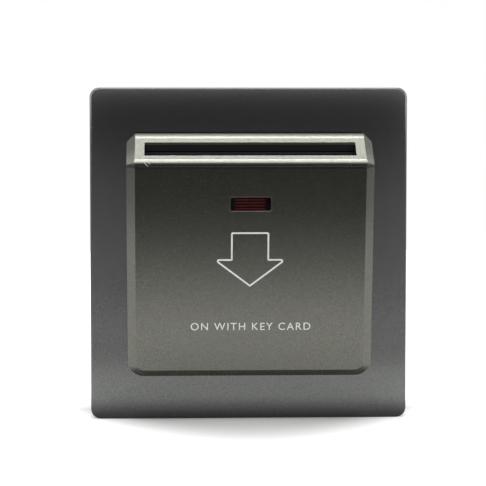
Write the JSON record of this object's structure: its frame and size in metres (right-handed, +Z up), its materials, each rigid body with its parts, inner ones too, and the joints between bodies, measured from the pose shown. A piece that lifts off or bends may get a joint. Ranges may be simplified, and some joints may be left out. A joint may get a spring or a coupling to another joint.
{
  "type": "key card switch",
  "caption": "Wall switch worked by a hotel key card: raised sloped housing with a card slot on a square plate, ribbed lens, sprung feeler lever and microswitch inside.",
  "frame": {"origin": "on the wall's surface, midway between the two slots for the wall box screws", "axes": "+Z up the wall, +X to the right of someone facing it, -Y out of the wall towards them"},
  "size_m": [0.086, 0.0522, 0.09],
  "materials": {
    "graphite_paint": "satin graphite paint with a fine metallic grain",
    "red_lens": "ribbed translucent dark red",
    "black_plastic": "moulded black plastic",
    "black_lever": "moulded black acetal",
    "steel": "zinc plated",
    "spring_steel": "drawn spring wire",
    "white_plastic": "moulded natural plastic",
    "lamp_glass": "clear bulb",
    "nickel": "nickel plated wire",
    "resistor": "lacquered",
    "brown_wire": "insulated wire",
    "blue_wire": "insulated wire",
    "red_wire": "insulated wire",
    "grey_plastic": "moulded grey plastic",
    "switch_black": "moulded phenolic",
    "plunger_red": "moulded",
    "copper_blade": "sprung copper alloy",
    "silver_tab": "tinned",
    "brass": "bare brass"
  },
  "bodies": {
    "switch_body": {"face_frame": "graphite_paint", "card_housing": "graphite_paint", "indicator_lens": "red_lens", "card_guide": "black_plastic", "lever_pin": "steel", "lever_spring": "spring_steel", "lamp_holder": "white_plastic", "neon_lamp_glass": "lamp_glass", "neon_lamp_electrodes": "nickel", "lamp_resistor": "resistor", "wire_lamp_live": "brown_wire", "wire_lamp_to_resistor": "blue_wire", "wire_resistor_to_neutral": "blue_wire", "wire_live": "brown_wire", "wire_load": "red_wire", "mounting_base": "grey_plastic", "rear_housing": "grey_plastic", "microswitch_case": "switch_black", "microswitch_cover": "switch_black", "common_terminal": "silver_tab", "normally_open_terminal": "silver_tab", "normally_closed_terminal": "silver_tab", "microswitch_screws": "steel", "microswitch_nuts": "steel", "push_on_receptacles": "brass", "terminal_screws": "steel", "assembly_screws": "steel", "live_terminal_block": "brass", "neutral_terminal_block": "brass", "load_terminal_block": "brass"},
    "lever": {"card_lever": "black_lever"},
    "plunger": {"microswitch_plunger": "plunger_red"},
    "blade": {"contact_blade": "copper_blade"}
  },
  "joints": [
    {"name": "lever_hinge", "type": "hinge", "parent": "switch_body", "child": "lever", "pos_m": [0, -0.0077, 0.006], "axis": [1, 0, 0], "range_deg": [0, 10], "stiffness_Nm_per_rad": 0.03, "springref_deg": -11.46, "deforming": ["lever_spring"]},
    {"name": "plunger_slide", "type": "slide", "parent": "switch_body", "child": "plunger", "axis": [0, 1, 0], "range_m": [0, 0.00125]},
    {"name": "blade_hinge", "type": "hinge", "parent": "switch_body", "child": "blade", "pos_m": [-0.009, 0.0072, -0.001], "axis": [0, 0, 1], "range_deg": [0, 3.1]}
  ],
  "couplings": [
    {"joint": "plunger_slide", "follows": "lever_hinge", "m_per_rad": 0.0069},
    {"joint": "blade_hinge", "follows": "lever_hinge", "ratio": 0.3}
  ]
}
